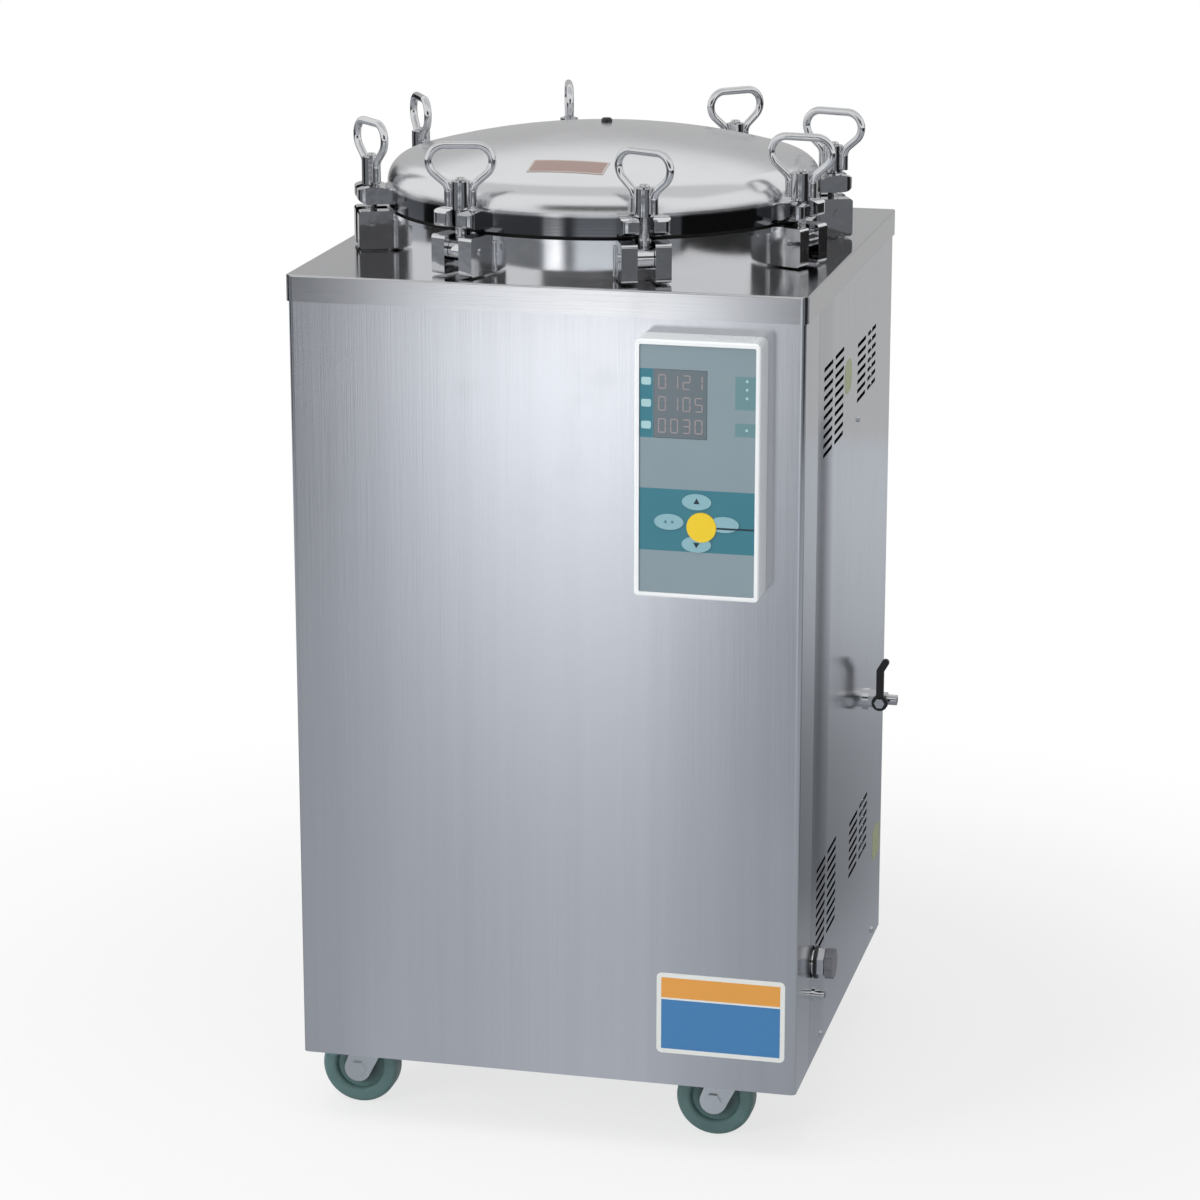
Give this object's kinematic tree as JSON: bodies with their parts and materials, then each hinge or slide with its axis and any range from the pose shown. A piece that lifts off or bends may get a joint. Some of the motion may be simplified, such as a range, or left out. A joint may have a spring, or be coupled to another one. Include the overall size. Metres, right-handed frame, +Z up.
{
  "type": "vertical pressure steam sterilizer",
  "caption": "Square stainless cabinet on swivel casters around a pressure vessel; swing bolts with ring nuts clamp its domed lid.",
  "frame": {"origin": "on the floor under the vessel's axis, which is the cabinet's middle", "axes": "+Z up along the vessel's axis, -Y out of the front with the control unit, +X to the right seen from the front"},
  "size_m": [0.6305, 0.6326, 1.167],
  "materials": {
    "cabinet_steel": "vertically brushed stainless sheet",
    "polished_steel": "polished stainless steel",
    "bright_steel": "bright polished steel",
    "caster_zinc": "bright zinc plated sheet",
    "wheel_rubber": "grey green rubber",
    "white_plastic": "moulded white plastic",
    "face_panel": "printed membrane panel",
    "black_plastic": "black plastic",
    "grey_plastic": "grey plastic",
    "gasket_rubber": "black rubber seal"
  },
  "bodies": {
    "cabinet": {"front_cover": "cabinet_steel", "side_panel_left": "cabinet_steel", "side_panel_right": "cabinet_steel", "back_panel": "cabinet_steel", "top_plate": "polished_steel", "base_plate": "cabinet_steel", "control_housing": "white_plastic", "control_face": "face_panel", "chamber": "cabinet_steel", "vessel_flange": "polished_steel", "lid_gasket": "gasket_rubber", "lid": "polished_steel", "lid_vent": "black_plastic", "vessel_lugs": "bright_steel", "lid_lugs": "bright_steel", "lug_pins": "bright_steel", "caster_mounts": "caster_zinc", "exhaust_valve": "bright_steel", "drain_valve": "bright_steel"},
    "swing_bolt_1": {"eye_bolt_1": "bright_steel", "ring_nut_1": "bright_steel"},
    "swing_bolt_2": {"eye_bolt_2": "bright_steel", "ring_nut_2": "bright_steel"},
    "swing_bolt_3": {"eye_bolt_3": "bright_steel", "ring_nut_3": "bright_steel"},
    "swing_bolt_4": {"eye_bolt_4": "bright_steel", "ring_nut_4": "bright_steel"},
    "swing_bolt_5": {"eye_bolt_5": "bright_steel", "ring_nut_5": "bright_steel"},
    "swing_bolt_6": {"eye_bolt_6": "bright_steel", "ring_nut_6": "bright_steel"},
    "swing_bolt_7": {"eye_bolt_7": "bright_steel", "ring_nut_7": "bright_steel"},
    "swing_bolt_8": {"eye_bolt_8": "bright_steel", "ring_nut_8": "bright_steel"},
    "caster_1": {"caster_fork_1": "caster_zinc"},
    "wheel_1": {"caster_wheel_1": "wheel_rubber"},
    "caster_2": {"caster_fork_2": "caster_zinc"},
    "wheel_2": {"caster_wheel_2": "wheel_rubber"},
    "caster_3": {"caster_fork_3": "caster_zinc"},
    "wheel_3": {"caster_wheel_3": "wheel_rubber"},
    "caster_4": {"caster_fork_4": "caster_zinc"},
    "wheel_4": {"caster_wheel_4": "wheel_rubber"},
    "exhaust_handle": {"exhaust_lever": "black_plastic"},
    "drain_handle": {"drain_knob": "grey_plastic"}
  },
  "joints": [
    {"name": "swing_1", "type": "hinge", "parent": "cabinet", "child": "swing_bolt_1", "pos_m": [0.25222, 0.10447, 1.045], "axis": [-0.3827, 0.9239, 0], "range_deg": [0, 80]},
    {"name": "swing_2", "type": "hinge", "parent": "cabinet", "child": "swing_bolt_2", "pos_m": [0.10447, 0.25222, 1.045], "axis": [-0.9239, 0.3827, 0], "range_deg": [0, 80]},
    {"name": "swing_3", "type": "hinge", "parent": "cabinet", "child": "swing_bolt_3", "pos_m": [-0.10447, 0.25222, 1.045], "axis": [-0.9239, -0.3827, 0], "range_deg": [0, 80]},
    {"name": "swing_4", "type": "hinge", "parent": "cabinet", "child": "swing_bolt_4", "pos_m": [-0.25222, 0.10447, 1.045], "axis": [-0.3827, -0.9239, 0], "range_deg": [0, 80]},
    {"name": "swing_5", "type": "hinge", "parent": "cabinet", "child": "swing_bolt_5", "pos_m": [-0.25222, -0.10447, 1.045], "axis": [0.3827, -0.9239, 0], "range_deg": [0, 80]},
    {"name": "swing_6", "type": "hinge", "parent": "cabinet", "child": "swing_bolt_6", "pos_m": [-0.10447, -0.25222, 1.045], "axis": [0.9239, -0.3827, 0], "range_deg": [0, 80]},
    {"name": "swing_7", "type": "hinge", "parent": "cabinet", "child": "swing_bolt_7", "pos_m": [0.10447, -0.25222, 1.045], "axis": [0.9239, 0.3827, 0], "range_deg": [0, 80]},
    {"name": "swing_8", "type": "hinge", "parent": "cabinet", "child": "swing_bolt_8", "pos_m": [0.25222, -0.10447, 1.045], "axis": [0.3827, 0.9239, 0], "range_deg": [0, 80]},
    {"name": "caster_swivel_1", "type": "hinge", "parent": "cabinet", "child": "caster_1", "pos_m": [-0.217, -0.215, 0.125], "axis": [0, 0, 1], "continuous": true},
    {"name": "wheel_roll_1", "type": "hinge", "parent": "caster_1", "child": "wheel_1", "pos_m": [-0.247, -0.215, 0.046], "axis": [0, 1, 0], "continuous": true},
    {"name": "caster_swivel_2", "type": "hinge", "parent": "cabinet", "child": "caster_2", "pos_m": [0.217, -0.215, 0.125], "axis": [0, 0, 1], "continuous": true},
    {"name": "wheel_roll_2", "type": "hinge", "parent": "caster_2", "child": "wheel_2", "pos_m": [0.187, -0.215, 0.046], "axis": [0, 1, 0], "continuous": true},
    {"name": "caster_swivel_3", "type": "hinge", "parent": "cabinet", "child": "caster_3", "pos_m": [-0.217, 0.215, 0.125], "axis": [0, 0, 1], "continuous": true},
    {"name": "wheel_roll_3", "type": "hinge", "parent": "caster_3", "child": "wheel_3", "pos_m": [-0.247, 0.215, 0.046], "axis": [0, 1, 0], "continuous": true},
    {"name": "caster_swivel_4", "type": "hinge", "parent": "cabinet", "child": "caster_4", "pos_m": [0.217, 0.215, 0.125], "axis": [0, 0, 1], "continuous": true},
    {"name": "wheel_roll_4", "type": "hinge", "parent": "caster_4", "child": "wheel_4", "pos_m": [0.187, 0.215, 0.046], "axis": [0, 1, 0], "continuous": true},
    {"name": "exhaust_turn", "type": "hinge", "parent": "cabinet", "child": "exhaust_handle", "pos_m": [0.314, 0.16, 0.43], "axis": [0, 1, 0], "range_deg": [0, 90]},
    {"name": "drain_turn", "type": "hinge", "parent": "cabinet", "child": "drain_handle", "pos_m": [0.315, -0.1872, 0.211], "axis": [1, 0, 0], "range_deg": [0, 360]}
  ]
}
